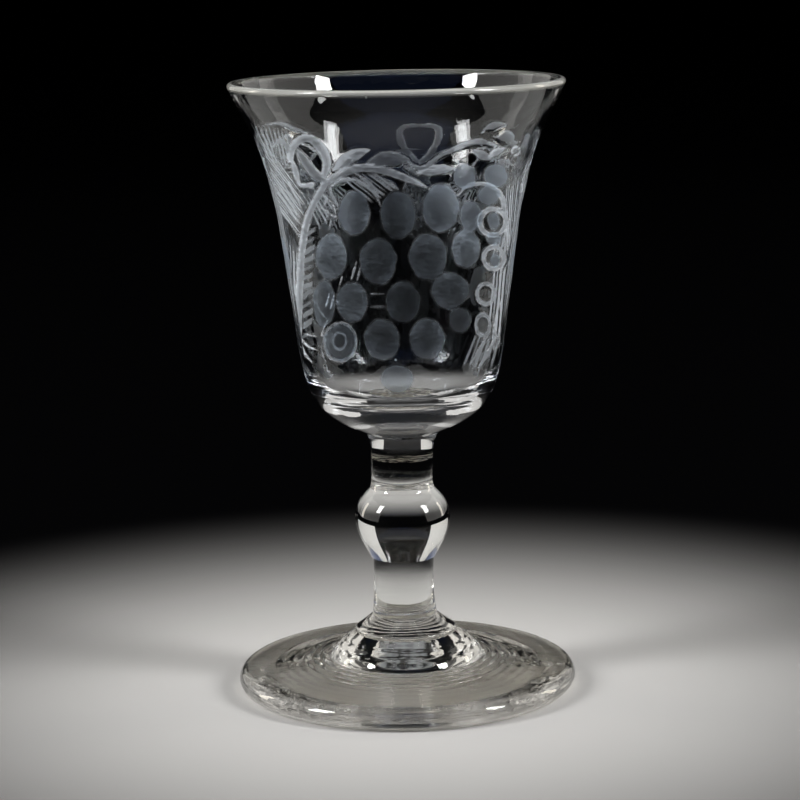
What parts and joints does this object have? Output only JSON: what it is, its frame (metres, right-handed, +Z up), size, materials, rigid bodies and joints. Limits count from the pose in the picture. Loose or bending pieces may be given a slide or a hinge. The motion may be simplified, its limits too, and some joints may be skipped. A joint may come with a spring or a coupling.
{
  "type": "stemmed drinking glass",
  "caption": "Small clear-glass goblet: flared bell bowl with a thick base, knopped stem, raised collar and heavy round foot.",
  "frame": {"origin": "centre of the foot's standing ring, on the plane that the glass stands on", "axes": "+Z up along the axis of the glass, towards the rim; X and Y lie in the standing plane"},
  "size_m": [0.0752, 0.0752, 0.1348],
  "materials": {
    "bowl_glass": "clear fire-polished soda glass, wheel-engraved outside with frosted grapes and vine",
    "stem_glass": "clear fire-polished soda glass",
    "foot_glass": "clear thick soda glass with a faint warm tint, rubbed on its standing ring"
  },
  "bodies": {
    "root": {"foot": "foot_glass", "foot_collar": "foot_glass", "lower_stem": "stem_glass", "knop": "stem_glass", "upper_stem": "stem_glass", "bowl_collar": "stem_glass", "bowl": "bowl_glass"}
  },
  "joints": []
}
